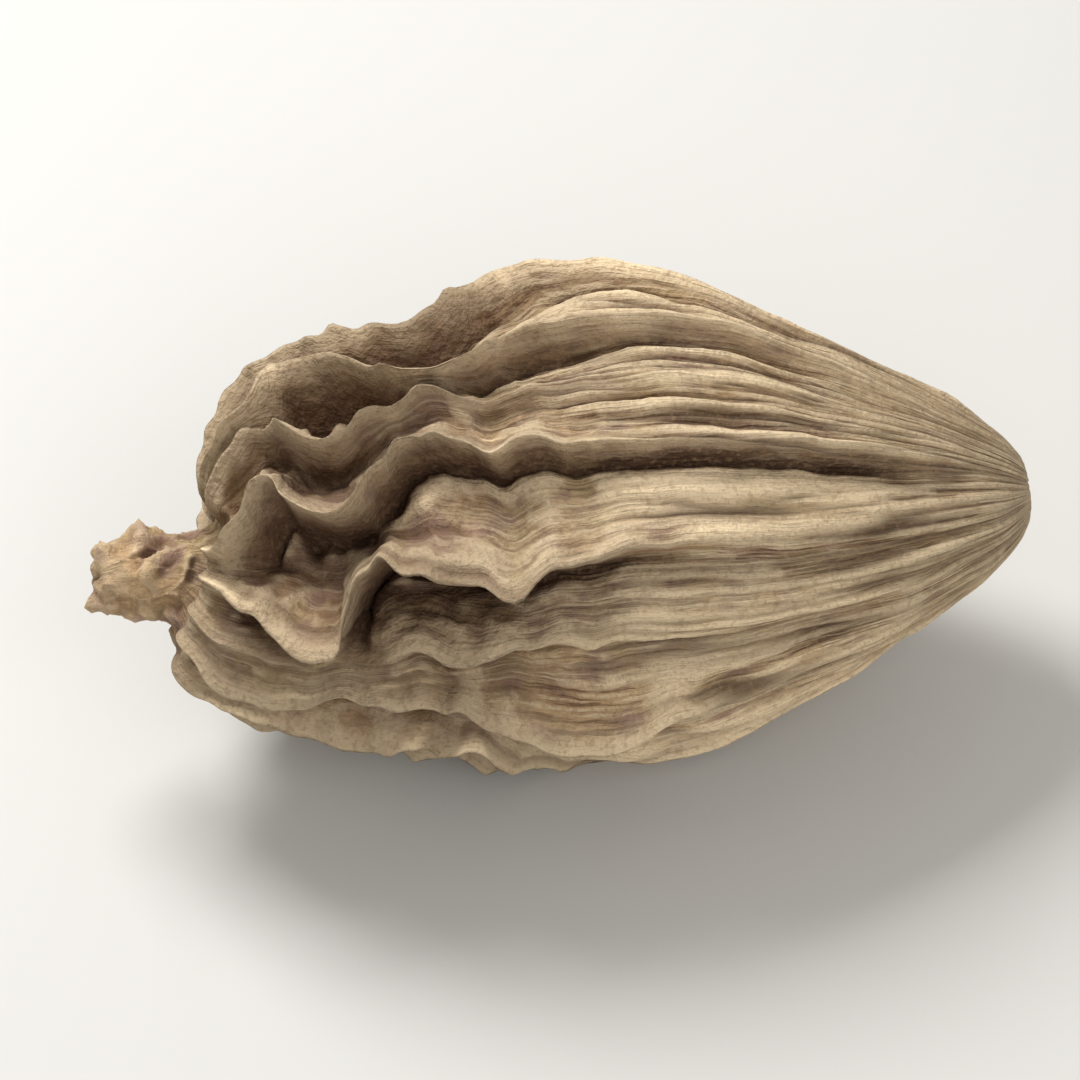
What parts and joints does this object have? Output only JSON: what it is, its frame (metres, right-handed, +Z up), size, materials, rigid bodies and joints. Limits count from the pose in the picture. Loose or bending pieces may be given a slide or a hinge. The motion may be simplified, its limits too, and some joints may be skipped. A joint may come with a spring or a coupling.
{
  "type": "dried cardamom pod",
  "caption": "Dried, ribbed seed pod lying on its side: plump at the middle, tapering to a stalk scar, crumpled into folds at the flower end, with a short withered beak.",
  "frame": {"origin": "bottom centre of the pod's box, on the surface that it rests on", "axes": "+X along the pod, towards the stalk scar; -X towards the beak; +Z up"},
  "size_m": [0.0304, 0.0168, 0.0148],
  "materials": {
    "dry_husk": null
  },
  "bodies": {
    "root": {"cardamom_pod": "dry_husk"}
  },
  "joints": []
}
